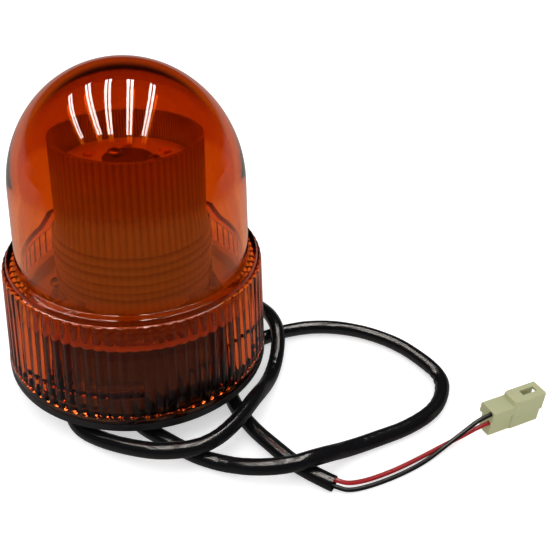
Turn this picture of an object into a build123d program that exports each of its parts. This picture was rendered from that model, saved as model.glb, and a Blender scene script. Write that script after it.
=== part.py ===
from build123d import *
import math
import os

# Flashing beacon: amber screw-on dome over a clear lens drum and an LED column, on a black base
# with three mounting studs, and a sleeved two-wire cable that ends in a two-way connector.
# Millimetres, +Z up. The origin is on the floor under the middle of the base.

# Base moulding
stud_reach = 10.0
rim_overhang = 7.5
rim_height = 3.0
rim_wall = 2.6
collar_wall = 2.5
deck_margin = 9.5
collar_height = 33.0
deck_drop = 6.0
deck_thickness = 3.0
rib_thickness = 2.0
rib_height = 8.0
rim_rib_count = 12

# Mounting studs, threaded M5
stud_count = 3
stud_circle_radius = 30.0
stud_first_angle = 30.0
stud_radius = 2.5
stud_neck_radius = 2.9
stud_boss_radius = 6.0
stud_boss_clearance = 3.0
stud_head_radius = 4.4
stud_head_height = 3.2
stud_chamfer = 0.5

# Screw fit between the dome and the collar: short ramps of a three-start thread
thread_starts = 3
thread_lead = 18.0
thread_lug_arc = 60.0
thread_lug_thickness = 2.3
thread_face_gap = 0.35
thread_tip_gap = 0.6
base_lug_depth = 2.0
base_lug_level = 13.0

# Dome: fluted skirt, ledge, slightly tapered side and elliptical crown
dome_foot_gap = 0.3
skirt_height = 42.0
skirt_setback = 0.2
skirt_draft = 2.7
skirt_foot_band = 2.8
skirt_wall = 2.6
flute_count = 76
flute_depth = 0.9
ledge_height = 2.7
ledge_width = 5.1
dome_side_height = 29.0
dome_side_draft = 1.55
crown_height = 44.2
dome_wall = 2.6
crown_wall = 4.6
crown_crease_rise = 11.0
flute_top_round = 1.4

# Seal ring in the foot of the skirt
seal_inset = 1.8
seal_width = 1.4
seal_height = 1.6
seal_clearance = 0.3

# Lens drum round the lamp
lens_flange_overhang = 3.4
lens_flange_thickness = 2.0
lens_foot_radius = 30.0
lens_top_radius = 27.3
lens_height = 68.7
lens_wall = 2.0
lens_ring_count = 9
lens_ring_zone = 31.5
lens_ring_depth = 0.9
lens_ring_start = 2.5
lens_flute_count = 72
lens_flute_depth = 0.6
lens_screw_count = 3
lens_screw_angle = 165.0
lens_screw_radius = 1.5
lens_screw_head_radius = 2.7
lens_screw_head_height = 1.8
lens_screw_length = 6.0
lens_boss_radius = 3.4

# White reflector on the deck, round the lens's flange
reflector_gap = 0.3
reflector_thickness = 1.0
reflector_lip_drop = 0.6

# Driver board and what is soldered to it; insets are measured from the board's edge
board_gap = 2.6
board_thickness = 1.6
board_post_height = 8.0
board_post_radius = 3.0
board_post_inset = 5.5
board_post_angle = 30.0
board_screw_radius = 1.25
board_screw_head_radius = 2.4
board_screw_head_height = 1.6
board_screw_length = 6.0
capacitor_radius = 4.0
capacitor_height = 9.0
capacitor_inset = 11.4
capacitor_angle = 133.5
capacitor_vent_depth = 0.3
inductor_size = (7.0, 7.0, 4.0)
inductor_inset = 17.4
inductor_angle = 320.7
inductor_bevel = 1.2
chip_size = (5.0, 4.0, 1.5)
chip_insets = (12.5, 16.4, 10.9)
chip_angles = (48.4, 190.6, 252.9)

# LED column: hexagonal aluminium core on spacers, boards on its faces, round board on top
spacer_length = 11.0
spacer_radius = 2.4
spacer_circle = 15.5
spacer_angle = 90.0
column_foot_radius = 19.5
column_foot_thickness = 2.0
column_flats = 26.0
column_height = 34.8
column_bore_radius = 8.0
strip_width = 12.0
strip_thickness = 1.0
strip_margin = 1.5
emitter_size = 3.5
emitter_height = 1.2
emitters_per_strip = 3
top_board_gap = 0.3
top_board_thickness = 1.6
top_emitter_count = 6
top_emitter_circle = 16.0
top_screw_radius = 1.5
top_screw_head_radius = 2.8
top_screw_head_height = 1.8
top_screw_length = 8.0
top_screw_circle = 9.5
top_screw_count = 3

# Cable entry in the middle of the deck
sleeve_radius = 3.05
grommet_neck_radius = 5.2
grommet_flange_radius = 7.6
grommet_lower_flange = 2.5
grommet_upper_flange = 1.5
grommet_fit = 0.05
entry_boss_radius = 10.0
sleeve_tail_rise = 5.0
tie_width = 2.5
tie_thickness = 1.2
tie_head = (4.5, 4.0, 3.4)
lead_radius = 0.85
lead_spread = 1.2

# Two-way connector, lying on its side on the floor
connector_near_corner = (132.5, -65.9)
connector_yaw = 15.0
cell_block_length = 10.4
cell_block_width = 7.8
cell_block_height = 11.8
cell_block_low_width = 5.6
cell_block_low_height = 7.2
cell_block_low_inset = 0.5
cell_block_round = 0.6
hood_length = 14.2
hood_width = 7.8
hood_height = 15.0
hood_low_width = 6.2
hood_low_height = 6.6
hood_low_inset = 0.8
hood_side_step = 0.8
hood_shoulder = 1.3
hood_wall = 1.0
hood_floor = 3.0
hood_round = 1.0
wire_cell_radius = 1.05
wire_cell_depth = 4.0
wire_cell_side = 1.9
red_cell_level = 5.6
black_cell_level = 10.2
blade_side = 3.1
blade_width = 2.8
blade_thickness = 0.8
blade_reach = 7.0
blade_root = 2.0
latch_slot_length = 7.0
latch_slot_width = 2.6
latch_slot_from_mouth = 2.6

# Worked out from the sizes above
lens_flange_radius = lens_foot_radius + lens_flange_overhang
lens_neck_radius = lens_foot_radius - lens_ring_depth
collar_bore = lens_flange_radius + deck_margin
collar_radius = collar_bore + collar_wall
rim_radius = collar_radius + rim_overhang
skirt_foot_radius = rim_radius - skirt_setback
skirt_top_radius = skirt_foot_radius - skirt_draft
dome_foot_radius = skirt_top_radius - ledge_width
dome_shoulder_radius = dome_foot_radius - dome_side_draft
seal_radius = skirt_foot_radius - seal_inset
rim_bottom = stud_reach
rim_top = rim_bottom + rim_height
collar_top = rim_bottom + collar_height
deck_top = collar_top - deck_drop
deck_bottom = deck_top - deck_thickness
skirt_bottom = rim_top + dome_foot_gap
skirt_top = skirt_bottom + skirt_height
ledge_top = skirt_top + ledge_height
crown_foot = ledge_top + dome_side_height
dome_side_lean = math.atan(dome_side_draft / dome_side_height)
thread_slope = math.degrees(math.atan(thread_lead / (2 * math.pi * collar_radius)))
base_lug_tip = collar_radius + base_lug_depth
dome_lug_tip = collar_radius + thread_tip_gap
base_lug_z = rim_top + base_lug_level
dome_lug_z = base_lug_z - thread_lug_thickness - thread_face_gap
lens_top = deck_top + lens_height
board_radius = lens_neck_radius - lens_wall - board_gap
board_post_circle = board_radius - board_post_inset
top_board_radius = min(lens_top_radius, lens_neck_radius) - lens_wall - top_board_gap
board_bottom = deck_top + board_post_height
board_top = board_bottom + board_thickness
column_bottom = board_top + spacer_length
column_top = column_bottom + column_height
top_board_top = column_top + top_board_thickness
grommet_bottom = deck_bottom - grommet_lower_flange
grommet_top = deck_top + grommet_upper_flange
sleeve_tail_top = grommet_top + sleeve_tail_rise


def round_rod(radius, bottom, top, x=0.0, y=0.0):
    """Upright cylinder between two levels."""
    middle = (bottom + top) / 2
    return Pos(x, y, middle) * Cylinder(radius, top - bottom)


def spots_on_circle(count, radius, first_angle):
    """Points and their angles, evenly spaced on a circle."""
    spots = []
    for index in range(count):
        angle = first_angle + 360 * index / count
        turn = math.radians(angle)
        spots.append((radius * math.cos(turn), radius * math.sin(turn), angle))
    return spots


def revolved(points):
    """Solid of revolution about Z of a closed outline given as radius and height."""
    outline = Polyline(*[(radius, 0, height) for radius, height in points], close=True)
    return revolve(make_face(outline), Axis.Z)


def scalloped_face(crest_radius, depth, count, level):
    """Flat face bounded by outward arcs that meet in narrow valleys."""
    edges = []
    step = 2 * math.pi / count
    valley_radius = crest_radius - depth
    for index in range(count):
        start = index * step
        corners = []
        for angle, radius in ((start, valley_radius), (start + step / 2, crest_radius),
                              (start + step, valley_radius)):
            corners.append((radius * math.cos(angle), radius * math.sin(angle), level))
        edges.append(Edge.make_three_point_arc(*corners))
    return Face(Wire(edges))


def pleated_face(crest_radius, depth, count, level):
    """Flat face bounded by straight-sided pleats, with a crest and a valley for each."""
    corners = []
    for index in range(2 * count):
        angle = math.pi * index / count
        radius = crest_radius - depth * (index % 2)
        corners.append((radius * math.cos(angle), radius * math.sin(angle), level))
    return make_face(Polyline(*corners, close=True))


def thread_lugs(inner_radius, outer_radius, level):
    """Ramps of the thread, one for each start, between two radii."""
    half_chord = collar_radius * math.sin(math.radians(thread_lug_arc / 2))
    ring_depth = outer_radius * (1 - math.cos(math.radians(thread_lug_arc / 2)))
    margin = thread_lug_thickness
    slab_depth = outer_radius - inner_radius + ring_depth + 2 * margin
    ring_height = 4 * thread_lug_thickness + 2 * half_chord * thread_lead / (math.pi * collar_radius)
    ring = Cylinder(outer_radius, ring_height) - Cylinder(inner_radius, ring_height)
    lugs = []
    for index in range(thread_starts):
        slab = Box(slab_depth, 2 * half_chord, thread_lug_thickness)
        slab = Pos(outer_radius + margin - slab_depth / 2, 0, 0) * Rot(thread_slope, 0, 0) * slab
        lugs.append(Pos(0, 0, level) * Rot(0, 0, 360 * index / thread_starts) * (ring & slab))
    return lugs


def base_housing():
    """Black moulding: rim flange, collar with thread ramps, deck, posts and bosses."""
    cup_outline = [(rim_radius, rim_bottom), (rim_radius, rim_top), (collar_radius, rim_top),
                   (collar_radius, collar_top), (collar_bore, collar_top), (collar_bore, deck_top),
                   (0, deck_top), (0, deck_bottom), (collar_bore, deck_bottom),
                   (collar_bore, rim_bottom)]
    shape = revolved(cup_outline)
    rim_hollow = round_rod(rim_radius - rim_wall, rim_bottom, rim_top - rim_wall / 2)
    rim_hollow -= round_rod(collar_radius, rim_bottom, rim_top)
    shape -= rim_hollow
    rib_length = rim_radius - rim_wall - collar_bore
    for x, y, angle in spots_on_circle(rim_rib_count, collar_bore + rib_length / 2, 15.0):
        rib = Box(rib_length, rib_thickness, rim_height)
        shape += Pos(x, y, rim_bottom + rim_height / 2) * Rot(0, 0, angle) * rib
    for lug in thread_lugs(collar_bore + collar_wall / 2, base_lug_tip, base_lug_z):
        shape += lug
    boss_bottom = rim_bottom + stud_boss_clearance
    for x, y, angle in spots_on_circle(stud_count, stud_circle_radius, stud_first_angle):
        shape += round_rod(stud_boss_radius, boss_bottom, deck_top, x, y)
        rib = Box(stud_circle_radius, rib_thickness, rib_height)
        shape += Pos(x / 2, y / 2, deck_bottom - rib_height / 2) * Rot(0, 0, angle) * rib
    shape += round_rod(entry_boss_radius, deck_bottom - rib_height, deck_bottom)
    shape -= round_rod(grommet_flange_radius, deck_bottom - rib_height, deck_bottom)
    shape -= round_rod(grommet_neck_radius, deck_bottom, deck_top)
    for x, y, angle in spots_on_circle(3, board_post_circle, board_post_angle):
        shape += round_rod(board_post_radius, deck_top, board_bottom, x, y)
        shape -= round_rod(board_screw_radius, board_top - board_screw_length, board_bottom, x, y)
    for x, y, angle in spots_on_circle(lens_screw_count, lens_screw_spot_radius(), lens_screw_angle):
        seat = deck_top + lens_flange_thickness
        shape += round_rod(lens_boss_radius, deck_bottom - deck_thickness, deck_bottom, x, y)
        shape -= round_rod(lens_screw_radius, seat - lens_screw_length, deck_top, x, y)
    head_bottom = boss_bottom + stud_head_height
    for x, y, angle in spots_on_circle(stud_count, stud_circle_radius, stud_first_angle):
        shape -= round_rod(stud_neck_radius, boss_bottom, head_bottom, x, y)
        shape -= stud_head(x, y, head_bottom)
    return shape


def lens_screw_spot_radius():
    """The lens screws stand in the middle of the lens flange's lip."""
    return (lens_flange_radius + lens_foot_radius) / 2 + 1.2


def stud_head(x, y, bottom):
    """Hexagonal head of a stud, moulded into its boss."""
    hexagon = extrude(RegularPolygon(stud_head_radius, 6), stud_head_height)
    return Pos(x, y, bottom) * hexagon


def mounting_studs():
    """Three steel studs: a head and a wide neck in the base's boss, and a free end to the floor."""
    boss_bottom = rim_bottom + stud_boss_clearance
    head_bottom = boss_bottom + stud_head_height
    studs = []
    for x, y, angle in spots_on_circle(stud_count, stud_circle_radius, stud_first_angle):
        shank = round_rod(stud_radius, 0, boss_bottom, x, y)
        shank = chamfer(shank.edges().group_by(Axis.Z)[0], stud_chamfer)
        neck = round_rod(stud_neck_radius, boss_bottom, head_bottom, x, y)
        studs.append(shank + neck + stud_head(x, y, head_bottom))
    return Compound(children=studs)


def dome_outline(foot, foot_level, across, rise, middle, start):
    """Side and crown as one closed face on the XZ plane; the crown is an ellipse from an angle on."""
    steps = 12
    arc_points = []
    for index in range(steps + 1):
        turn = start + (math.pi / 2 - start) * index / steps
        arc_points.append((across * math.cos(turn), 0, middle + rise * math.sin(turn)))
    bottom = Line((0, 0, foot_level), (foot, 0, foot_level))
    wall = Line((foot, 0, foot_level), arc_points[0])
    first_way = (-across * math.sin(start), 0, rise * math.cos(start))
    arc = Spline(*arc_points, tangents=(first_way, (-1, 0, 0)))
    axis = Line(arc_points[-1], (0, 0, foot_level))
    return make_face([bottom, wall, arc, axis])


def rounded_corner(radius, level, size):
    """What a rounded top edge takes off a round body of that radius and top level."""
    inner = radius - size
    bow = size * math.sqrt(0.5)
    arc = ThreePointArc((inner, 0, level), (inner + bow, 0, level - size + bow),
                        (radius, 0, level - size))
    sides = Polyline((radius, 0, level - size), (radius + size, 0, level - size),
                     (radius + size, 0, level + size), (inner, 0, level + size), (inner, 0, level))
    return revolve(make_face([arc, sides]), Axis.Z)


def dome_lens():
    """Amber moulding: fluted skirt, ledge, tapered side and crown, hollow, with inner ramps."""
    band_top = skirt_bottom + skirt_foot_band
    taper = (skirt_foot_radius - skirt_top_radius) / skirt_height
    flute_foot_radius = skirt_foot_radius - taper * skirt_foot_band
    flutes = loft([scalloped_face(flute_foot_radius, flute_depth, flute_count, band_top),
                   scalloped_face(skirt_top_radius, flute_depth, flute_count, skirt_top)], ruled=True)
    valley_top = skirt_top_radius - flute_depth
    core = revolved([(0, skirt_bottom), (skirt_foot_radius, skirt_bottom),
                     (skirt_foot_radius, band_top), (flute_foot_radius - flute_depth, band_top),
                     (valley_top, skirt_top), (dome_foot_radius, ledge_top), (0, ledge_top)])
    outer_rise = crown_height / (1 - math.sin(dome_side_lean))
    upper = revolve(dome_outline(dome_foot_radius, ledge_top,
                                 dome_shoulder_radius / math.cos(dome_side_lean), outer_rise,
                                 crown_foot + crown_height - outer_rise, dome_side_lean), Axis.Z)
    shape = core + (flutes - rounded_corner(skirt_top_radius, skirt_top, flute_top_round)) + upper
    inner_foot = skirt_foot_radius - flute_depth - skirt_wall
    inner_top = skirt_top_radius - flute_depth - skirt_wall
    inner_side = dome_foot_radius - dome_wall
    skirt_hollow = revolved([(0, skirt_bottom), (inner_foot, skirt_bottom),
                             (inner_top, skirt_top - dome_wall),
                             (inner_side, ledge_top - dome_wall), (0, ledge_top - dome_wall)])
    inner_rise = crown_height - crown_wall
    upper_hollow = revolve(dome_outline(inner_side, ledge_top - dome_wall,
                                        dome_shoulder_radius - crown_wall, inner_rise, crown_foot,
                                        math.asin(crown_crease_rise / inner_rise)), Axis.Z)
    shape = shape - skirt_hollow - upper_hollow
    for lug in thread_lugs(dome_lug_tip, inner_foot + skirt_wall / 2, dome_lug_z):
        shape += lug
    groove_inner = seal_radius - seal_width / 2 - seal_clearance
    groove_outer = seal_radius + seal_width / 2 + seal_clearance
    groove_top = skirt_bottom + seal_height
    groove = round_rod(groove_outer, skirt_bottom, groove_top)
    groove -= round_rod(groove_inner, skirt_bottom, groove_top)
    return shape - groove


def dome_seal():
    """Square rubber ring in the groove of the skirt's foot."""
    bottom = rim_top + seal_clearance
    top = skirt_bottom + seal_height - seal_clearance
    outer = round_rod(seal_radius + seal_width / 2, bottom, top)
    return outer - round_rod(seal_radius - seal_width / 2, bottom, top)


def inner_lens():
    """Clear drum, open at the top: ring prisms on the lower part and flutes on the upper part."""
    zone_bottom = deck_top + lens_ring_start
    zone_top = zone_bottom + lens_ring_zone
    pitch = lens_ring_zone / lens_ring_count
    outline = [(lens_flange_radius, deck_top), (lens_flange_radius, deck_top + lens_flange_thickness),
               (lens_foot_radius, deck_top + lens_flange_thickness)]
    for index in range(lens_ring_count):
        level = zone_bottom + index * pitch
        outline.append((lens_foot_radius, level))
        outline.append((lens_foot_radius - lens_ring_depth, level + pitch))
    neck = lens_neck_radius
    outline += [(neck, zone_top + 1), (lens_top_radius - lens_flute_depth, lens_top),
                (lens_top_radius - lens_wall, lens_top), (neck - lens_wall, zone_top),
                (neck - lens_wall, deck_top)]
    shape = revolved(outline)
    flutes = loft([pleated_face(neck, lens_flute_depth, lens_flute_count, zone_top + 1),
                   pleated_face(lens_top_radius, lens_flute_depth, lens_flute_count, lens_top)],
                  ruled=True)
    hollow = revolved([(0, zone_top), (neck - lens_wall, zone_top),
                       (lens_top_radius - lens_wall, lens_top), (0, lens_top)])
    shape += flutes - hollow
    for x, y, angle in spots_on_circle(lens_screw_count, lens_screw_spot_radius(), lens_screw_angle):
        shape += round_rod(lens_screw_head_radius, deck_top, deck_top + lens_flange_thickness, x, y)
        shape -= round_rod(lens_screw_radius, deck_top, deck_top + lens_flange_thickness, x, y)
    return shape


def screw(shank_radius, head_radius, head_height, length, seat, x, y):
    """Pan-head screw whose head stands on a seat level, with a cross recess."""
    head = round_rod(head_radius, seat, seat + head_height, x, y)
    top_edge = head.edges().group_by(Axis.Z)[-1]
    head = chamfer(top_edge, head_height / 3)
    body = head + round_rod(shank_radius, seat - length, seat, x, y)
    for turn in (0, 90):
        slot = Box(head_radius, head_radius / 4, head_height)
        body -= Pos(x, y, seat + head_height) * Rot(0, 0, turn) * slot
    return body


def deck_reflector():
    """White ring on the deck round the lens's flange, with a lip that lines the collar's bore."""
    inner = lens_flange_radius + reflector_gap
    outer = collar_bore - reflector_gap
    plate_top = deck_top + reflector_thickness
    lip_top = collar_top - reflector_lip_drop
    shape = revolved([(inner, deck_top), (outer, deck_top), (outer, lip_top),
                      (outer - reflector_thickness, lip_top), (outer - reflector_thickness, plate_top),
                      (inner, plate_top)])
    for x, y, angle in spots_on_circle(lens_screw_count, lens_screw_spot_radius(), lens_screw_angle):
        shape -= round_rod(lens_screw_head_radius + reflector_gap, deck_top, lip_top, x, y)
    return shape


def lens_screws():
    """Three screws that hold the lens flange to the deck."""
    seat = deck_top + lens_flange_thickness
    screws = []
    for x, y, angle in spots_on_circle(lens_screw_count, lens_screw_spot_radius(), lens_screw_angle):
        screws.append(screw(lens_screw_radius, lens_screw_head_radius, lens_screw_head_height,
                            lens_screw_length, seat, x, y))
    return Compound(children=screws)


def driver_board():
    """Round board on the three posts, with a hole in the middle for the cable."""
    shape = round_rod(board_radius, board_bottom, board_top)
    for x, y, angle in spots_on_circle(3, board_post_circle, board_post_angle):
        shape -= round_rod(board_screw_radius, board_bottom, board_top, x, y)
    return shape


def board_screws():
    """Three screws that hold the driver board to its posts."""
    screws = []
    for x, y, angle in spots_on_circle(3, board_post_circle, board_post_angle):
        screws.append(screw(board_screw_radius, board_screw_head_radius, board_screw_head_height,
                            board_screw_length, board_top, x, y))
    return Compound(children=screws)


def spot_on_board(inset, angle):
    """Point on the driver board at an angle and a distance in from its edge."""
    turn = math.radians(angle)
    return ((board_radius - inset) * math.cos(turn), (board_radius - inset) * math.sin(turn))


def supply_capacitor():
    """Upright electrolytic can with a scored vent in its top."""
    x, y = spot_on_board(capacitor_inset, capacitor_angle)
    top = board_top + capacitor_height
    can = round_rod(capacitor_radius, board_top, top, x, y)
    can = fillet(can.edges().group_by(Axis.Z)[-1], capacitor_vent_depth)
    for turn in (0, 90):
        score = Box(1.2 * capacitor_radius, capacitor_vent_depth, 2 * capacitor_vent_depth)
        can -= Pos(x, y, top) * Rot(0, 0, turn) * score
    return can


def driver_inductor():
    """Shielded inductor: bevelled block with a round core window."""
    x, y = spot_on_board(inductor_inset, inductor_angle)
    length, width, height = inductor_size
    block = Pos(x, y, board_top + height / 2) * Box(length, width, height)
    block = chamfer(block.edges().filter_by(Axis.Z), inductor_bevel)
    return block - round_rod(length / 4, board_top + height * 0.8, board_top + height, x, y)


def driver_chips():
    """Surface-mounted driver chips."""
    length, width, height = chip_size
    chips = []
    for inset, angle in zip(chip_insets, chip_angles):
        x, y = spot_on_board(inset, angle)
        chip = Pos(x, y, board_top + height / 2) * Box(length, width, height)
        chips.append(chamfer(chip.edges().group_by(Axis.Z)[-1], height / 5))
    return Compound(children=chips)


def column_spacers():
    """Three spacers that carry the LED column above the driver board."""
    rods = []
    for x, y, angle in spots_on_circle(3, spacer_circle, spacer_angle):
        hexagon = extrude(RegularPolygon(spacer_radius, 6), spacer_length)
        rods.append(Pos(x, y, board_top) * hexagon)
    return Compound(children=rods)


def led_column():
    """Hexagonal aluminium core with a round foot and a bore for the board's wires."""
    foot = round_rod(column_foot_radius, column_bottom, column_bottom + column_foot_thickness)
    hexagon = RegularPolygon(column_flats / 2, 6, major_radius=False)
    core = Pos(0, 0, column_bottom) * extrude(hexagon, column_height)
    shape = foot + core - round_rod(column_bore_radius, column_bottom, column_top - strip_margin)
    for x, y, angle in spots_on_circle(top_screw_count, top_screw_circle, 0.0):
        shape -= round_rod(top_screw_radius, top_board_top - top_screw_length, column_top, x, y)
    return shape


def face_angles():
    """Directions of the six flats of the column."""
    return [30 + 60 * index for index in range(6)]


def led_strips():
    """Six narrow boards on the column's flats."""
    bottom = column_bottom + column_foot_thickness
    height = column_top - bottom - strip_margin
    strips = []
    for angle in face_angles():
        strip = Box(strip_thickness, strip_width, height)
        out = column_flats / 2 + strip_thickness / 2
        strips.append(Rot(0, 0, angle) * Pos(out, 0, bottom + height / 2) * strip)
    return Compound(children=strips)


def led_emitters():
    """Square emitters with a round dome, in a row up each strip."""
    bottom = column_bottom + column_foot_thickness
    height = column_top - bottom - strip_margin
    step = height / emitters_per_strip
    out = column_flats / 2 + strip_thickness
    emitters = []
    for angle in face_angles():
        for index in range(emitters_per_strip):
            chip = Box(emitter_height, emitter_size, emitter_size)
            level = bottom + step * (index + 0.5)
            emitters.append(Rot(0, 0, angle) * Pos(out + emitter_height / 2, 0, level) * chip)
    return Compound(children=emitters)


def top_board():
    """Round board that closes the column's top, seen through the open lens."""
    shape = round_rod(top_board_radius, column_top, top_board_top)
    for x, y, angle in spots_on_circle(top_screw_count, top_screw_circle, 0.0):
        shape -= round_rod(top_screw_radius, column_top, top_board_top, x, y)
    return shape


def top_emitters():
    """Ring of upward emitters on the top board."""
    emitters = []
    for x, y, angle in spots_on_circle(top_emitter_count, top_emitter_circle, 30.0):
        chip = Rot(0, 0, angle) * Box(emitter_size, emitter_size, emitter_height)
        emitters.append(Pos(x, y, top_board_top + emitter_height / 2) * chip)
    return Compound(children=emitters)


def top_screws():
    """Screws that hold the top board to the column."""
    screws = []
    for x, y, angle in spots_on_circle(top_screw_count, top_screw_circle, 0.0):
        screws.append(screw(top_screw_radius, top_screw_head_radius, top_screw_head_height,
                            top_screw_length, top_board_top, x, y))
    return Compound(children=screws)


def cable_grommet():
    """Rubber grommet with a groove that grips the deck round the cable."""
    bore = sleeve_radius + grommet_fit
    return revolved([(bore, grommet_bottom), (grommet_flange_radius - 0.8, grommet_bottom),
                     (grommet_flange_radius - grommet_fit, grommet_bottom + 0.8),
                     (grommet_flange_radius - grommet_fit, deck_bottom),
                     (grommet_neck_radius - grommet_fit, deck_bottom),
                     (grommet_neck_radius - grommet_fit, deck_top),
                     (grommet_flange_radius, deck_top), (grommet_flange_radius - 0.6, grommet_top),
                     (bore, grommet_top)])


def sleeve_tail():
    """End of the sleeve inside the base, from the grommet's mouth to above the tie."""
    return round_rod(sleeve_radius, grommet_bottom, sleeve_tail_top)


def cable_tie():
    """Nylon tie drawn round the sleeve above the grommet, so that the cable can't pull out."""
    inner = sleeve_radius + grommet_fit
    outer = inner + tie_thickness
    band = round_rod(outer, grommet_top, grommet_top + tie_width)
    length, width, height = tie_head
    head = Pos(outer + width / 2 - tie_thickness / 2, 0, grommet_top + height / 2) * Box(width, length,
                                                                                         height)
    return band + head - round_rod(inner, grommet_top, grommet_top + tie_head[2])


def inner_lead(side):
    """Short lead from the sleeve's end up to the underside of the driver board."""
    return round_rod(lead_radius, sleeve_tail_top, board_bottom, side * lead_spread)


def in_connector_frame(shape):
    """Places a shape made along +X from the near lower rear corner into the row's frame."""
    x, y = connector_near_corner
    return Pos(x, y, 0) * Rot(0, 0, connector_yaw) * shape


def block(x_from, x_to, y_from, y_to, z_from, z_to):
    """Box between two corners."""
    centre = Pos((x_from + x_to) / 2, (y_from + y_to) / 2, (z_from + z_to) / 2)
    return centre * Box(x_to - x_from, y_to - y_from, z_to - z_from)


def connector_housing():
    """Natural nylon housing: keyed block of two wire cells and an open hood over the blades."""
    split = cell_block_length
    mouth = split + hood_length
    inside_hood = split + hood_floor
    cells = block(0, inside_hood, 0, cell_block_width, cell_block_low_height, cell_block_height)
    low_side = cell_block_low_inset
    cells += block(0, inside_hood, low_side, low_side + cell_block_low_width, 0,
                   cell_block_low_height)
    cells = fillet(cells.edges().filter_by(Axis.X).group_by(Axis.Z)[-1], cell_block_round)
    near = -hood_side_step
    hood = block(split, mouth, near, near + hood_width, hood_low_height, hood_height)
    rear_edges = hood.faces().sort_by(Axis.X)[0].edges()
    hood = chamfer(rear_edges.group_by(Axis.Z)[-1] + rear_edges.group_by(Axis.Y)[0], hood_shoulder)
    hood = fillet(hood.edges().filter_by(Axis.X).group_by(Axis.Z)[-1], hood_round)
    low_near = near + hood_low_inset
    hood += block(split, mouth, low_near, low_near + hood_low_width, 0, hood_low_height)
    shape = cells + hood
    shape -= block(inside_hood, mouth, near + hood_wall, near + hood_width - hood_wall,
                   hood_low_height + hood_wall, hood_height - hood_wall)
    shape -= block(inside_hood, mouth, low_near + hood_wall, low_near + hood_low_width - hood_wall,
                   hood_wall, hood_low_height + hood_wall)
    slot_end = mouth - latch_slot_from_mouth
    slot_middle = near + hood_width / 2
    shape -= block(slot_end - latch_slot_length, slot_end, slot_middle - latch_slot_width / 2,
                   slot_middle + latch_slot_width / 2, hood_height - hood_wall, hood_height)
    for level in (red_cell_level, black_cell_level):
        bore = Rot(0, 90, 0) * Cylinder(wire_cell_radius, wire_cell_depth)
        shape -= Pos(wire_cell_depth / 2, wire_cell_side, level) * bore
        shape -= blade(level)
    return in_connector_frame(shape)


def blade(level):
    """One brass blade, from its root in the housing to its tip in the hood."""
    root = cell_block_length + hood_floor - blade_root
    tip = cell_block_length + hood_floor + blade_reach
    return block(root, tip, blade_side - blade_width / 2, blade_side + blade_width / 2,
                 level - blade_thickness / 2, level + blade_thickness / 2)


def connector_terminals():
    """Two brass blades side by side in the hood."""
    return in_connector_frame(Compound(children=[blade(red_cell_level), blade(black_cell_level)]))


# Route of the sleeve, chosen by hand from the photo: down out of the grommet, round the front of
# the base, a loop behind it, the wide loop to the right, back under the base and out to its end
sleeve_route = [
    (0.0, 0.0, grommet_bottom), (0.0, 0.0, 23.5), (-4.5, -3.2, 13.5), (-13.5, -10.0, 6.0),
    (-24.5, -17.8, 3.2), (-28.7, -29.0, 3.2), (-26.0, -41.0, 3.2), (-17.2, -49.5, 4.2),
    (-6.0, -57.8, 6.8), (5.5, -64.4, 9.8), (21.0, -63.8, 9.8), (33.0, -54.0, 9.8),
    (42.5, -41.0, 9.8), (51.0, -26.5, 3.8), (57.0, -13.0, 4.4), (60.0, -1.5, 9.8),
    (59.0, 10.5, 9.8), (56.5, 23.0, 5.6), (50.5, 35.0, 3.2), (40.5, 43.2, 3.2),
    (27.2, 43.7, 3.2), (15.8, 36.5, 3.2), (10.6, 24.0, 3.2), (13.5, 10.8, 3.2),
    (23.5, 1.6, 3.2), (36.5, -1.0, 3.2), (50.0, 1.6, 3.2), (64.0, 7.0, 3.2),
    (80.0, 8.6, 3.2), (97.0, 4.0, 3.2), (112.5, -7.5, 3.2), (121.0, -21.5, 3.2),
    (125.0, -33.5, 3.2), (121.0, -44.0, 3.2), (113.5, -52.8, 3.2), (101.0, -59.4, 3.2),
    (87.5, -63.4, 3.2), (74.0, -67.6, 4.0), (61.5, -74.2, 9.6), (48.5, -77.2, 9.6),
    (36.0, -74.4, 7.6), (27.0, -67.6, 3.4), (17.0, -61.8, 3.2), (6.0, -51.5, 3.2),
    (-3.5, -42.0, 3.2), (-8.6, -29.5, 3.2), (-6.6, -16.2, 3.2), (2.5, -6.8, 3.2),
    (15.5, -3.9, 3.2), (27.5, -9.0, 3.2), (34.2, -20.5, 3.2), (34.4, -34.5, 3.2),
    (38.8, -48.5, 3.2), (46.6, -61.8, 3.2), (54.6, -74.0, 3.2), (64.6, -82.4, 3.2)]


def connector_cell(level, out=0.0):
    """Centre of a wire cell, a distance outside the housing's rear face."""
    bottom = wire_cell_depth
    corner = Vector(connector_near_corner[0], connector_near_corner[1], level)
    turn = math.radians(connector_yaw)
    forward = Vector(math.cos(turn), math.sin(turn), 0)
    left = Vector(-math.sin(turn), math.cos(turn), 0)
    place = corner + forward * (bottom - out) + left * wire_cell_side
    return (place.X, place.Y, place.Z)


red_route = [
    (65.9, -82.1, 4.3), (70.0, -83.2, 3.2), (78.5, -81.2, 1.6), (90.0, -77.8, 1.3),
    (101.5, -73.2, 1.1), (112.3, -68.8, 1.2), (121.3, -66.2, 2.5),
    connector_cell(red_cell_level, wire_cell_depth + 4.0), connector_cell(red_cell_level)]
black_route = [
    (65.3, -83.0, 2.2), (69.5, -84.8, 1.3), (78.5, -83.6, 1.0), (90.5, -80.3, 1.0),
    (102.0, -75.7, 1.0), (112.0, -70.4, 2.3), (120.6, -67.4, 6.2),
    connector_cell(black_cell_level, wire_cell_depth + 4.0), connector_cell(black_cell_level)]


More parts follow.
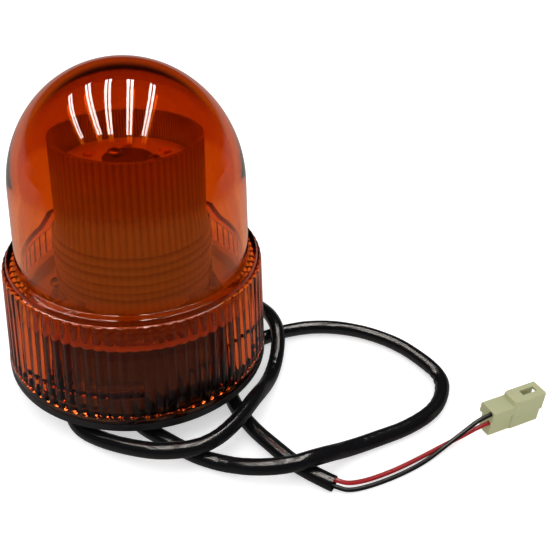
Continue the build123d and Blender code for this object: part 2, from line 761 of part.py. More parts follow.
def cord_tube(name, route, radius):
    """Tube of straight runs joined by tangent arcs, each arc as large as its runs allow."""
    points = [Vector(*point) for point in route]
    radii = []
    for before, here, after in zip(points, points[1:], points[2:]):
        turn = (here - before).get_angle(after - here)
        shorter = min((here - before).length, (after - here).length)
        radii.append(0.45 * shorter / math.tan(math.radians(turn / 2)))
    path = FilletPolyline(*points, radius=radii)
    start = Plane(points[0], z_dir=points[1] - points[0])
    tube = sweep(start * Circle(radius), path)
    expected = math.pi * radius ** 2 * path.length
    print(name, "length", round(path.length, 1), "smallest radius", round(min(radii), 1),
          "at point", radii.index(min(radii)) + 2, "volume ratio", round(tube.volume / expected, 4))
    return tube


pieces = {
    "base_housing": base_housing(),
    "mounting_studs": mounting_studs(),
    "dome_lens": dome_lens(),
    "dome_seal": dome_seal(),
    "inner_lens": inner_lens(),
    "lens_screws": lens_screws(),
    "deck_reflector": deck_reflector(),
    "driver_board": driver_board(),
    "board_screws": board_screws(),
    "supply_capacitor": supply_capacitor(),
    "driver_inductor": driver_inductor(),
    "driver_chips": driver_chips(),
    "column_spacers": column_spacers(),
    "led_column": led_column(),
    "led_strips": led_strips(),
    "led_emitters": led_emitters(),
    "top_board": top_board(),
    "top_emitters": top_emitters(),
    "top_screws": top_screws(),
    "cable_grommet": cable_grommet(),
    "sleeve_tail": sleeve_tail(),
    "cable_tie": cable_tie(),
    "inner_lead_red": inner_lead(1),
    "inner_lead_black": inner_lead(-1),
    "connector_housing": connector_housing(),
    "connector_terminals": connector_terminals(),
    "cable_sleeve": cord_tube("cable_sleeve", sleeve_route, sleeve_radius),
    "red_wire": cord_tube("red_wire", red_route, lead_radius),
    "black_wire": cord_tube("black_wire", black_route, lead_radius),
}

os.makedirs("parts", exist_ok=True)
for node, shape in pieces.items():
    export_step(shape, f"parts/{node}.step")
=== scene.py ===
import math

import bmesh
import bpy
from mathutils import Matrix, Vector, noise


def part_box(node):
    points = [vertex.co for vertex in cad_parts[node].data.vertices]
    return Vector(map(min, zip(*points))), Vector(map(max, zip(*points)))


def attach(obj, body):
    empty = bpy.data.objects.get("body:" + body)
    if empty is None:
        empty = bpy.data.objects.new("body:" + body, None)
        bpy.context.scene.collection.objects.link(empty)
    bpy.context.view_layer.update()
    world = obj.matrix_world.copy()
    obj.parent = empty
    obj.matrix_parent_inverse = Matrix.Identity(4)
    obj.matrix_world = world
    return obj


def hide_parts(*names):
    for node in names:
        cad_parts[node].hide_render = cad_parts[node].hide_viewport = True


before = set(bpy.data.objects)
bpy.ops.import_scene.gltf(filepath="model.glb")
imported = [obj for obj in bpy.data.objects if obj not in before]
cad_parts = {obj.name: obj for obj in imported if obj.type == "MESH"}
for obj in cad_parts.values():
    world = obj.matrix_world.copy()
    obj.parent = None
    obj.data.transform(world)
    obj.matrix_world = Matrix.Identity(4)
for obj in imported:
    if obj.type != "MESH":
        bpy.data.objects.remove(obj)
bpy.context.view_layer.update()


# Camera: it stands a quarter of a metre in front of the beacon, level with the top of the dome.
# It looks down past the cable towards the middle of the whole object, and is rolled a little.
camera_place = Vector((0.0, -0.25531, 0.21436))
camera_right = Vector((0.98094, -0.18910, 0.04470))
camera_up = Vector((0.06893, 0.55374, 0.82983))
camera_lens = 49.08

camera_data = bpy.data.cameras.new("camera")
camera_data.lens = camera_lens
camera_data.sensor_width = 36.0
camera_data.clip_start = 0.01
camera = bpy.data.objects.new("camera", camera_data)
camera_back = camera_right.cross(camera_up)
camera_turn = Matrix((camera_right, camera_up, camera_back)).transposed()
camera.matrix_world = Matrix.Translation(camera_place) @ camera_turn.to_4x4()
bpy.context.scene.collection.objects.link(camera)
bpy.context.scene.camera = camera


# Cable sleeve: thin-walled black PVC tubing, six millimetres across, pulled loosely over two wires.
# It leaves the grommet in the middle of the base, goes once round the front, makes a loop behind
# the base and a wide one to the right, and ends cut off square where the wires come out.
sleeve_radius = 0.00305
sleeve_wall = 0.0005
sleeve_mouth_depth = 0.006
sleeve_mouth_lip = 0.00015
sleeve_sides = 28
sleeve_steps = 16
sleeve_flattening = 0.07
sleeve_full_bend = 4
sleeve_bend_span = 6
sleeve_fold_depth = 0.17
sleeve_fold_pitch = 0.0046
sleeve_fold_wander = 0.6
sleeve_fold_wander_length = 0.013
sleeve_slack = 0.035
sleeve_slack_length = 0.011
sleeve_kink_place = Vector((0.1245, -0.0335, 0.0032))
sleeve_kink_reach = 0.007
sleeve_kink_squash = 0.2
sharp_corner = 75.0
sleeve_route = [
    (0.0, 0.0, 0.0315), (0.0, 0.0, 0.0235), (-0.0045, -0.0032, 0.0135),
    (-0.0135, -0.0100, 0.0060), (-0.0245, -0.0178, 0.0032), (-0.0287, -0.0290, 0.0032),
    (-0.0260, -0.0410, 0.0032), (-0.0172, -0.0495, 0.0042), (-0.0060, -0.0578, 0.0068),
    (0.0055, -0.0644, 0.0098), (0.0210, -0.0638, 0.0098), (0.0330, -0.0540, 0.0098),
    (0.0425, -0.0410, 0.0098), (0.0510, -0.0265, 0.0038), (0.0570, -0.0130, 0.0044),
    (0.0600, -0.0015, 0.0098), (0.0590, 0.0105, 0.0098), (0.0565, 0.0230, 0.0056),
    (0.0505, 0.0350, 0.0032), (0.0405, 0.0432, 0.0032), (0.0272, 0.0437, 0.0032),
    (0.0158, 0.0365, 0.0032), (0.0106, 0.0240, 0.0032), (0.0135, 0.0108, 0.0032),
    (0.0235, 0.0016, 0.0032), (0.0365, -0.0010, 0.0032), (0.0500, 0.0016, 0.0032),
    (0.0640, 0.0070, 0.0032), (0.0800, 0.0086, 0.0032), (0.0970, 0.0040, 0.0032),
    (0.1125, -0.0075, 0.0032), (0.1210, -0.0215, 0.0032), (0.1250, -0.0335, 0.0032),
    (0.1210, -0.0440, 0.0032), (0.1135, -0.0528, 0.0032), (0.1010, -0.0594, 0.0032),
    (0.0875, -0.0634, 0.0032), (0.0740, -0.0676, 0.0040), (0.0615, -0.0742, 0.0096),
    (0.0485, -0.0772, 0.0096), (0.0360, -0.0744, 0.0076), (0.0270, -0.0676, 0.0034),
    (0.0170, -0.0618, 0.0032), (0.0060, -0.0515, 0.0032), (-0.0035, -0.0420, 0.0032),
    (-0.0086, -0.0295, 0.0032), (-0.0066, -0.0162, 0.0032), (0.0025, -0.0068, 0.0032),
    (0.0155, -0.0039, 0.0032), (0.0275, -0.0090, 0.0032), (0.0342, -0.0205, 0.0032),
    (0.0344, -0.0345, 0.0032), (0.0388, -0.0485, 0.0032), (0.0466, -0.0618, 0.0032),
    (0.0546, -0.0740, 0.0032), (0.0646, -0.0824, 0.0032)]


def guide_line(name, route, steps):
    """Smooth open curve with the route's points as its control points."""
    curve = bpy.data.curves.new(name, "CURVE")
    curve.dimensions = "3D"
    spline = curve.splines.new("NURBS")
    spline.points.add(len(route) - 1)
    for point, place in zip(spline.points, route):
        point.co = (*place, 1.0)
    spline.order_u = 3
    spline.use_endpoint_u = True
    spline.resolution_u = steps
    line = bpy.data.objects.new(name, curve)
    bpy.context.scene.collection.objects.link(line)
    return line


def points_along(line):
    """Places along a curve that has no bevel, from its start to its end."""
    bpy.context.view_layer.update()
    mesh = bpy.data.meshes.new_from_object(line)
    places = [vertex.co.copy() for vertex in mesh.vertices]
    bpy.data.meshes.remove(mesh)
    return places


def smooth_object(name, mesh):
    """Object in the scene from a mesh, shaded smooth up to its sharp corners."""
    for face in mesh.polygons:
        face.use_smooth = True
    mesh.set_sharp_from_angle(angle=math.radians(sharp_corner))
    piece = bpy.data.objects.new(name, mesh)
    bpy.context.scene.collection.objects.link(piece)
    return piece


def sleeve_section(place, bend, distance, turn, side_way):
    """Radius of the tubing at one point of its section: slack, oval and creased inside a bend."""
    tightness = min(bend.length * sleeve_radius * sleeve_full_bend, 1.0)
    inward = side_way.dot(bend.normalized()) if bend.length else 0.0
    slack = noise.noise(Vector((distance / sleeve_slack_length, math.cos(turn), math.sin(turn))))
    radius = 1 + sleeve_slack * slack
    radius += sleeve_flattening * tightness * (0.5 - inward ** 2)
    wander = sleeve_fold_wander * noise.noise(Vector((distance / sleeve_fold_wander_length, 7, 3)))
    wave = 0.5 - 0.5 * math.cos(math.tau * (distance / sleeve_fold_pitch + wander))
    radius -= sleeve_fold_depth * tightness * max(inward, 0.0) ** 3 * wave ** 2
    nearness = math.exp(-((place - sleeve_kink_place).length / sleeve_kink_reach) ** 2)
    radius -= sleeve_kink_squash * nearness * abs(side_way.z) ** 2
    radius += 0.5 * sleeve_kink_squash * nearness * (1 - abs(side_way.z)) ** 2
    return sleeve_radius * radius


def sleeve_mesh(places):
    """Closed tube along the places, with an open mouth at its last end."""
    tangents = []
    for index in range(len(places)):
        before = places[max(index - 1, 0)]
        after = places[min(index + 1, len(places) - 1)]
        tangents.append((after - before).normalized())
    tangents[0] = Vector((0, 0, -1))
    distance = 0.0
    side = Vector((1, 0, 0))
    mesh = bmesh.new()
    rings = []
    for index, (place, tangent) in enumerate(zip(places, tangents)):
        if index:
            distance += (place - places[index - 1]).length
        side = (side - tangent * side.dot(tangent)).normalized()
        other = tangent.cross(side)
        low = max(index - sleeve_bend_span, 0)
        high = min(index + sleeve_bend_span, len(places) - 1)
        reach = sum((places[k + 1] - places[k]).length for k in range(low, high))
        bend = (tangents[high] - tangents[low]) / reach
        ring = []
        for step in range(sleeve_sides):
            turn = math.tau * step / sleeve_sides
            way = side * math.cos(turn) + other * math.sin(turn)
            radius = sleeve_section(place, bend, distance, turn, way)
            ring.append(mesh.verts.new(place + way * radius))
        rings.append(ring)
    for depth in (0.0, sleeve_mouth_lip, sleeve_mouth_depth):
        ring = []
        inset = 1 - (sleeve_wall if depth else 0.5 * sleeve_wall) / sleeve_radius
        for vertex in rings[len(places) - 1]:
            offset = (vertex.co - places[-1]) * inset
            ring.append(mesh.verts.new(places[-1] + offset - tangents[-1] * depth))
        rings.append(ring)
    for first, second in zip(rings, rings[1:]):
        for step in range(sleeve_sides):
            following = (step + 1) % sleeve_sides
            mesh.faces.new((first[step], first[following], second[following], second[step]))
    mesh.faces.new(rings[0])
    mesh.faces.new(rings[-1])
    bmesh.ops.recalc_face_normals(mesh, faces=mesh.faces)
    data = bpy.data.meshes.new("sleeve_tubing")
    mesh.to_mesh(data)
    mesh.free()
    return data


def effect_group(name, inputs, outputs):
    """Shader group with number inputs and their defaults, and outputs with their kinds."""
    group = bpy.data.node_groups.new(name, "ShaderNodeTree")
    for label, value in inputs.items():
        socket = group.interface.new_socket(label, in_out="INPUT", socket_type="NodeSocketFloat")
        socket.default_value = value
    for label, kind in outputs.items():
        group.interface.new_socket(label, in_out="OUTPUT", socket_type="NodeSocket" + kind)
    return group, group.nodes.new("NodeGroupInput"), group.nodes.new("NodeGroupOutput")


def moulded_skin_effect():
    """Slight waviness and fine grain of a moulded plastic skin, and where it is duller."""
    group, given, result = effect_group(
        "moulded skin", {"Wave Scale": 60.0, "Grain Scale": 1500.0, "Grain Share": 0.3},
        {"Height": "Float", "Dullness": "Float"})
    place = group.nodes.new("ShaderNodeTexCoord")
    wave = group.nodes.new("ShaderNodeTexNoise")
    grain = group.nodes.new("ShaderNodeTexNoise")
    handled = group.nodes.new("ShaderNodeTexNoise")
    wave.inputs["Detail"].default_value = 3.0
    grain.inputs["Detail"].default_value = 2.0
    handled.inputs["Scale"].default_value = 35.0
    handled.inputs["Detail"].default_value = 5.0
    blend = group.nodes.new("ShaderNodeMix")
    contrast = group.nodes.new("ShaderNodeMapRange")
    contrast.inputs["From Min"].default_value = 0.35
    contrast.inputs["From Max"].default_value = 0.7
    link = group.links.new
    for texture in (wave, grain, handled):
        link(place.outputs["Object"], texture.inputs["Vector"])
    link(given.outputs["Wave Scale"], wave.inputs["Scale"])
    link(given.outputs["Grain Scale"], grain.inputs["Scale"])
    link(given.outputs["Grain Share"], blend.inputs["Factor"])
    link(wave.outputs["Fac"], blend.inputs["A"])
    link(grain.outputs["Fac"], blend.inputs["B"])
    link(handled.outputs["Fac"], contrast.inputs["Value"])
    link(blend.outputs["Result"], result.inputs["Height"])
    link(contrast.outputs["Result"], result.inputs["Dullness"])
    return group


moulded_skin = moulded_skin_effect()


def plain_material(name, colour, roughness, **sockets):
    """Principled material with a colour, a roughness and any other of its sockets."""
    material = bpy.data.materials.new(name)
    material.use_nodes = True
    shader = material.node_tree.nodes["Principled BSDF"]
    shader.inputs["Base Color"].default_value = (*colour, 1.0)
    shader.inputs["Roughness"].default_value = roughness
    for label, value in sockets.items():
        shader.inputs[label.replace("_", " ")].default_value = value
    return material


def moulded_material(name, colour, gloss, dull, bump=0.00004, wave_scale=90.0,
                     grain_scale=2500.0, grain_share=0.4, **sockets):
    """Plastic, rubber or metal with a skin: roughness from gloss to dull, and a fine bump."""
    material = plain_material(name, colour, gloss, **sockets)
    nodes, link = material.node_tree.nodes, material.node_tree.links.new
    shader = nodes["Principled BSDF"]
    skin = nodes.new("ShaderNodeGroup")
    skin.node_tree = moulded_skin
    skin.inputs["Wave Scale"].default_value = wave_scale
    skin.inputs["Grain Scale"].default_value = grain_scale
    skin.inputs["Grain Share"].default_value = grain_share
    spread = nodes.new("ShaderNodeMapRange")
    spread.inputs["To Min"].default_value = gloss
    spread.inputs["To Max"].default_value = dull
    relief = nodes.new("ShaderNodeBump")
    relief.inputs["Strength"].default_value = 1.0
    relief.inputs["Distance"].default_value = bump
    link(skin.outputs["Dullness"], spread.inputs["Value"])
    link(spread.outputs["Result"], shader.inputs["Roughness"])
    link(skin.outputs["Height"], relief.inputs["Height"])
    link(relief.outputs["Normal"], shader.inputs["Normal"])
    return material


black_tubing = moulded_material("black_tubing", (0.006, 0.006, 0.007), gloss=0.1, dull=0.22,
                                bump=0.0001, wave_scale=260.0, grain_share=0.25,
                                Specular_IOR_Level=0.55)
sleeve_line = guide_line("sleeve_line", sleeve_route, sleeve_steps)
sleeve_places = points_along(sleeve_line)
bpy.data.objects.remove(sleeve_line)
sleeve = smooth_object("cable_sleeve_tubing", sleeve_mesh(sleeve_places))
sleeve.data.materials.append(black_tubing)
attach(sleeve, "base")
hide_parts("cable_sleeve")


# Wires: two stranded leads in red and black PVC, under two millimetres across.
# They come out of the sleeve's mouth, cross on the floor and rise into the connector's cells.
wire_radius = 0.00085
wire_steps = 14
red_route = [
    (0.0618, -0.0795, 0.0042), (0.0659, -0.0821, 0.0043), (0.0700, -0.0832, 0.0032),
    (0.0785, -0.0812, 0.0016), (0.0900, -0.0778, 0.0013), (0.1015, -0.0732, 0.0011),
    (0.1123, -0.0688, 0.0012), (0.1213, -0.0662, 0.0025), (0.128145, -0.065100, 0.0056),
    (0.135872, -0.063029, 0.0056)]
black_route = [
    (0.0612, -0.0802, 0.0022), (0.0653, -0.0830, 0.0022), (0.0695, -0.0848, 0.0013),
    (0.0785, -0.0836, 0.0010), (0.0905, -0.0803, 0.0010), (0.1020, -0.0757, 0.0010),
    (0.1120, -0.0704, 0.0023), (0.1206, -0.0674, 0.0062), (0.128145, -0.065100, 0.0102),
    (0.135872, -0.063029, 0.0102)]


def wire(name, route, material, node):
    """One insulated wire along its route, in place of its plain solid."""
    piece = guide_line(name, route, wire_steps)
    piece.data.bevel_depth = wire_radius
    piece.data.bevel_resolution = 5
    piece.data.use_fill_caps = True
    piece.data.materials.append(material)
    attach(piece, "base")
    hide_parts(node)
    return piece


red_insulation = moulded_material("red_insulation", (0.40, 0.004, 0.008), gloss=0.3, dull=0.42,
                                  bump=0.00005, wave_scale=300.0, grain_scale=3000.0,
                                  grain_share=0.3)
black_insulation = moulded_material("black_insulation", (0.004, 0.004, 0.005), gloss=0.34,
                                    dull=0.46, bump=0.00005, wave_scale=300.0,
                                    grain_scale=3000.0, grain_share=0.3)
red_lead = wire("red_wire_lead", red_route, red_insulation, "red_wire")
black_lead = wire("black_wire_lead", black_route, black_insulation, "black_wire")


# Connector: two-way housing in natural nylon with brass blades, lying on its side.
# The nylon is cloudy and lets a little light through; the blades are rolled brass strip.
def repaint(node, material):
    """Gives a carried-over solid its finish."""
    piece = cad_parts[node]
    for place in piece.material_slots:
        place.material = material
    return piece


natural_nylon = moulded_material("natural_nylon", (0.50, 0.51, 0.29), gloss=0.3, dull=0.42,
                                 bump=0.00008, wave_scale=120.0, grain_scale=1800.0,
                                 grain_share=0.3, Subsurface_Weight=0.15, Subsurface_Scale=0.002)
rolled_brass = moulded_material("rolled_brass", (0.62, 0.47, 0.16), gloss=0.22, dull=0.38,
                                bump=0.00003, wave_scale=200.0, grain_scale=4000.0, Metallic=1.0)
repaint("connector_housing", natural_nylon)
repaint("connector_terminals", rolled_brass)


# Base housing: one black plastic moulding with a rim flange, a collar with thread ramps for the
# dome, a deck and a hollow underside, and the three zinc-plated studs moulded into its bosses.
black_moulding = moulded_material("black_moulding", (0.008, 0.008, 0.009), gloss=0.34, dull=0.5,
                                  bump=0.00006, wave_scale=80.0, grain_scale=2200.0)
zinc_plate = moulded_material("zinc_plate", (0.62, 0.64, 0.66), gloss=0.25, dull=0.42,
                              bump=0.00003, wave_scale=150.0, grain_scale=3500.0, Metallic=1.0)
black_rubber = moulded_material("black_rubber", (0.012, 0.012, 0.012), gloss=0.55, dull=0.7,
                                bump=0.00005, grain_scale=2600.0, grain_share=0.5)
repaint("base_housing", black_moulding)
repaint("mounting_studs", zinc_plate)
repaint("cable_grommet", black_rubber)
repaint("dome_seal", black_rubber)
repaint("sleeve_tail", black_tubing)


# Dome: one amber moulding, clear and glossy, with a fluted skirt, a rolled ledge, slightly
# tapered sides and a crown that is thicker than the sides. Three ramps inside the skirt screw it
# onto the base, and its foot has a groove for the seal.
dome_low, dome_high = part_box("dome_lens")
skirt_height = 0.042
skirt_draft = 0.0027
skirt_foot_band = 0.0028
skirt_wall = 0.0026
flute_count = 76
flute_depth = 0.0009
flute_columns = 8
flute_run_out = 0.0016
rolled_edge_height = 0.0016
rolled_edge_depth = 0.0014
ledge_height = 0.0027
ledge_width = 0.0051
ledge_fillet = 0.0006
ledge_round = 0.0009
dome_side_height = 0.029
dome_side_draft = 0.00155
dome_wall = 0.0026
underside_round = 0.001
crown_height = 0.0442
crown_wall = 0.0044
crown_side_wall = 0.0038
crown_crease_rise = 0.0045
crown_crease_spread = 0.0025
crown_steps = 40
ramp_count = 3
ramp_arc = 60.0
ramp_lead = 0.018
ramp_thickness = 0.0023
ramp_corner = 0.0001
ramp_margin = 0.0046
ramp_rise = 0.01005
ramp_tip_radius = 0.0460
seal_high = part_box("dome_seal")[1]
seal_width = 0.0014
seal_clearance = 0.0003

skirt_foot_radius = dome_high.x
skirt_top_radius = skirt_foot_radius - skirt_draft
skirt_bottom = dome_low.z
skirt_top = skirt_bottom + skirt_height
ledge_top = skirt_top + ledge_height
dome_foot_radius = skirt_top_radius - ledge_width
crown_foot = ledge_top + dome_side_height
crown_top = dome_high.z


def skirt_crest(height):
    """Radius of the skirt's crests at a height, on its draft and round its rolled top edge."""
    share = (height - skirt_bottom) / skirt_height
    radius = skirt_foot_radius - skirt_draft * share
    above = (height - (skirt_top - rolled_edge_height)) / rolled_edge_height
    if above > 0:
        radius -= rolled_edge_depth * (1 - math.sqrt(max(1 - above ** 2, 0.0)))
    return radius


def skirt_valley(height):
    """Radius of the valleys between the flutes, which run out above the foot band."""
    share = (height - skirt_bottom) / skirt_height
    band_top = skirt_bottom + skirt_foot_band
    run_out = min(max((height - band_top) / flute_run_out, 0.0), 1.0)
    depth = flute_depth * math.sin(run_out * math.pi / 2)
    return skirt_foot_radius - skirt_draft * share - depth


def crown_curve(foot_radius, foot_height, top_height, lean, steps):
    """Outline of a crown that starts with the side's lean and ends on the axis."""
    start = math.radians(lean)
    rise = (top_height - foot_height) / (1 - math.sin(start))
    across = foot_radius / math.cos(start)
    middle = top_height - rise
    outline = []
    for step in range(steps + 1):
        turn = start + (math.pi / 2 - start) * step / steps
        outline.append((across * math.cos(turn), middle + rise * math.sin(turn)))
    outline[-1] = (0.0, top_height)
    return outline


def dome_outer_outline():
    """Radius of crest and valley, and height, from the skirt's foot up to the top."""
    outline = []
    heights = [skirt_bottom, skirt_bottom + 0.5 * skirt_foot_band, skirt_bottom + skirt_foot_band]
    heights += [heights[-1] + flute_run_out * step / 5 for step in range(1, 6)]
    edge = skirt_top - rolled_edge_height
    heights += [heights[-1] + (edge - heights[-1]) * step / 6 for step in range(1, 7)]
    heights += [edge + rolled_edge_height * math.sin(math.pi / 2 * step / 7) for step in range(1, 8)]
    for height in heights:
        crest = skirt_crest(height)
        outline.append((crest, min(crest, skirt_valley(height)), height))
    inner_edge = outline[-1][1]
    foot = dome_foot_radius
    level = ledge_top - ledge_fillet
    for step in range(1, 7):
        turn = math.pi / 2 * step / 6
        radius = inner_edge - ledge_round * (1 - math.cos(turn))
        outline.append((radius, radius, skirt_top + (level - skirt_top) * math.sin(turn)))
    for step in range(0, 7):
        turn = math.pi / 2 * step / 6
        radius = foot + ledge_fillet * (1 - math.sin(turn))
        outline.append((radius, radius, level + ledge_fillet * (1 - math.cos(turn))))
    lean = math.degrees(math.atan(dome_side_draft / dome_side_height))
    start = outline[-1][2]
    for step in range(1, 10):
        height = start + (crown_foot - start) * step / 10
        radius = foot - dome_side_draft * (height - ledge_top) / dome_side_height
        outline.append((radius, radius, height))
    for radius, height in crown_curve(foot - dome_side_draft, crown_foot, crown_top, lean,
                                      crown_steps):
        outline.append((radius, radius, height))
    return outline


def dome_inner_outline():
    """Radius and height of the inner surface, from the top down to under the ledge."""
    crease_turn = math.asin(crown_crease_rise / (crown_height - crown_side_wall))
    crease_height = crown_foot + crown_crease_rise
    crease_radius = (dome_foot_radius - dome_side_draft - crown_side_wall) * math.cos(crease_turn)
    outline = crown_curve(crease_radius, crease_height, crown_top - crown_wall,
                          math.degrees(crease_turn), crown_steps)
    outline.reverse()
    side_foot = dome_foot_radius - dome_wall
    ledge_under = ledge_top - dome_wall
    for step in range(1, 9):
        share = step / 8
        radius = crease_radius + (side_foot - crease_radius) * share
        outline.append((radius, crease_height + (ledge_under - crease_height) * share))
    under_radius = skirt_top_radius - flute_depth - skirt_wall
    under = skirt_top - dome_wall
    outline.append((under_radius - underside_round, under + 0.4 * underside_round))
    outline.append((under_radius, under - 0.6 * underside_round))
    return outline


def skirt_inside(height):
    """Radius of the skirt's plain inner wall at a height."""
    share = (height - skirt_bottom) / skirt_height
    return skirt_foot_radius - skirt_draft * share - flute_depth - skirt_wall


def skirt_inner_rings(columns):
    """Rings of the skirt's inner wall: down to its thread ramps, round them, and to the foot."""
    level = skirt_bottom + ramp_rise
    half = ramp_thickness / 2
    spacing = 360.0 / ramp_count
    rows = [(level + ramp_margin, False), (level + half + ramp_corner, False),
            (level + half, True), (level - half, True),
            (level - half - ramp_corner, False), (level - ramp_margin, False)]
    rings = []
    for height, on_ramp in rows:
        ring = []
        for step in range(columns):
            turn = math.tau * step / columns
            from_middle = (math.degrees(turn) + spacing / 2) % spacing - spacing / 2
            inside_arc = abs(from_middle) <= ramp_arc / 2
            climb = from_middle
            if not inside_arc:
                past_end = (spacing / 2 - abs(from_middle)) / (spacing - ramp_arc) * ramp_arc
                climb = math.copysign(past_end, from_middle)
            z = height + ramp_lead * climb / 360.0
            radius = ramp_tip_radius if on_ramp and inside_arc else skirt_inside(z)
            ring.append((radius * math.cos(turn), radius * math.sin(turn), z))
        rings.append(ring)
    return rings


def foot_groove_outline():
    """Radius and height of the skirt's foot from its inner edge round the seal's groove."""
    outer = seal_high.x + seal_clearance
    inner = seal_high.x - seal_width - seal_clearance
    top = seal_high.z + seal_clearance
    return [(skirt_inside(skirt_bottom), skirt_bottom), (inner, skirt_bottom), (inner, top),
            (outer, top), (outer, skirt_bottom)]


def turned_shell(name, rings, columns):
    """Closed shell through rings of places round the axis; a ring of one place is a pole."""
    mesh = bmesh.new()
    made = [[mesh.verts.new(place) for place in ring] for ring in rings]
    for first, second in zip(made, made[1:] + made[:1]):
        if len(first) == len(second) == 1:
            continue
        for step in range(columns):
            following = (step + 1) % columns
            if len(first) == 1:
                mesh.faces.new((first[0], second[following], second[step]))
            elif len(second) == 1:
                mesh.faces.new((first[step], first[following], second[0]))
            else:
                mesh.faces.new((first[step], first[following], second[following], second[step]))
    bmesh.ops.recalc_face_normals(mesh, faces=mesh.faces)
    data = bpy.data.meshes.new(name)
    mesh.to_mesh(data)
    mesh.free()
    return data


def ring_of(radius_at, height, columns):
    """Places round the axis at a height, with a radius for each column."""
    places = []
    for step in range(columns):
        turn = math.tau * step / columns
        radius = radius_at(step)
        places.append((radius * math.cos(turn), radius * math.sin(turn), height))
    return places


def round_ring(radius, height, columns):
    """Places round the axis at a height and a radius, or one place on the axis."""
    if radius == 0:
        return [(0.0, 0.0, height)]
    return ring_of(lambda step: radius, height, columns)


def flank(step, columns):
    """How far a column is down a flute's flank: zero on the crest and one in the valley."""
    share = (step % columns) / columns
    return (2 * share - 1) ** 2


def fluted_ring(crest, valley, height, columns):
    """Places round the skirt at a height, in and out of its flutes where it has any."""
    if valley >= crest:
        return round_ring(crest, height, columns)
    full = skirt_foot_radius - skirt_draft * (height - skirt_bottom) / skirt_height

    def radius_at(step):
        return min(crest, full - (full - valley) * flank(step, flute_columns))

    return ring_of(radius_at, height, columns)


def dome_rings(columns):
    """Rings of the dome: up its outside, down its inside and round its foot."""
    rings = []
    for crest, valley, height in dome_outer_outline():
        rings.append(fluted_ring(crest, valley, height, columns))
    for radius, height in dome_inner_outline():
        rings.append(round_ring(radius, height, columns))
    rings += skirt_inner_rings(columns)
    for radius, height in foot_groove_outline():
        rings.append(round_ring(radius, height, columns))
    return rings


def tinted_glass(name, surface_colour, body_colour, body_density, ior, roughness):
    """Clear moulding whose colour comes partly from its skin and partly from its thickness."""
    material = plain_material(name, surface_colour, roughness, Transmission_Weight=1.0, IOR=ior)
    nodes, link = material.node_tree.nodes, material.node_tree.links.new
    body = nodes.new("ShaderNodeVolumeAbsorption")
    body.inputs["Color"].default_value = (*body_colour, 1.0)
    body.inputs["Density"].default_value = body_density
    link(body.outputs["Volume"], nodes["Material Output"].inputs["Volume"])
    return material


amber_body = (0.81, 0.36, 0.0)
amber_density = 250.0
amber_skirt = (0.66, 0.28, 0.11)
amber_edge = (0.86, 0.42, 0.10)
amber_edge_depth = 0.007
amber_side = (0.83, 0.50, 0.17)
amber_crown_and_painted_shade = (0.68, 0.25, 0.02)
amber_moulding = tinted_glass("amber_moulding", amber_skirt, amber_body, amber_density, 1.5, 0.0)


def tint_above(material, height, spread, tint):
    """Gives a clear moulding another tint above a height."""
    nodes, link = material.node_tree.nodes, material.node_tree.links.new
    tinted = nodes["Principled BSDF"].inputs["Base Color"]
    place = nodes.new("ShaderNodeTexCoord")
    split = nodes.new("ShaderNodeSeparateXYZ")
    edge = nodes.new("ShaderNodeMapRange")
    edge.inputs["From Min"].default_value = height - spread
    edge.inputs["From Max"].default_value = height + spread
    mix = nodes.new("ShaderNodeMix")
    mix.data_type = "RGBA"
    mix.inputs["A"].default_value = tinted.default_value
    mix.inputs["B"].default_value = (*tint, 1.0)
    if tinted.is_linked:
        link(tinted.links[0].from_socket, mix.inputs["A"])
    link(place.outputs["Object"], split.inputs["Vector"])
    link(split.outputs["Z"], edge.inputs["Value"])
    link(edge.outputs["Result"], mix.inputs["Factor"])
    link(mix.outputs["Result"], tinted)


# The skin is lighter at the skirt's top, the ledge and the sides; on the crown it is darker, partly
# for its thicker wall and partly as painted shade along its top.
tint_above(amber_moulding, skirt_top - amber_edge_depth, flute_run_out, amber_edge)
tint_above(amber_moulding, ledge_top + dome_wall, ledge_fillet, amber_side)
tint_above(amber_moulding, crown_foot + crown_crease_rise, crown_crease_spread, amber_crown_and_painted_shade)
dome_columns = flute_count * flute_columns
dome_shell = turned_shell("dome_moulding", dome_rings(dome_columns), dome_columns)
dome = smooth_object("dome_moulding", dome_shell)
dome.data.materials.append(amber_moulding)
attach(dome, "dome")
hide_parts("dome_lens")


# Inner lens: clear open-topped drum, screwed to the deck through its flange. Its lower part has
# ring prisms outside, its upper part has upright flutes outside, and flutes run down the inside.
lens_low, lens_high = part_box("inner_lens")
lens_flange_radius = 0.0334
lens_flange_thickness = 0.002
lens_foot_radius = 0.0300
lens_top_radius = 0.0273
lens_wall = 0.002
lens_ring_count = 9
lens_ring_zone = 0.0315
lens_ring_start = 0.0025
lens_ring_depth = 0.0009
lens_flute_count = 72
lens_flute_depth = 0.0006
lens_inner_flute_depth = 0.0003
lens_flute_columns = 8
# Painted shade: how much darker the flute valleys outside and inside, and the tops of the rings, are
# painted.
lens_flute_painted_shade = 0.3
lens_inner_flute_painted_shade = 0.6
lens_ring_painted_shade = 0.45
lens_ring_flute_painted_shade = 0.12
lens_ring_shares = (0.0, 0.35, 0.65, 0.9, 1.0)
lens_ring_bulge = 0.12
lens_ring_step = 0.999
lens_flute_run = ((0.02, 0.0), (0.05, 1.0), (0.35, 1.0), (0.65, 1.0), (0.97, 1.0), (1.0, 0.5))
lens_inner_run = (1.0, 0.985, 0.75, 0.5, 0.25, 0.0)

lens_bottom = lens_low.z
lens_zone_bottom = lens_bottom + lens_ring_start
lens_ring_pitch = lens_ring_zone / lens_ring_count
lens_flute_bottom = lens_zone_bottom + lens_ring_zone
lens_flute_height = lens_high.z - lens_flute_bottom
lens_neck_radius = lens_foot_radius - lens_ring_depth
lens_neck_taper = lens_top_radius - lens_neck_radius


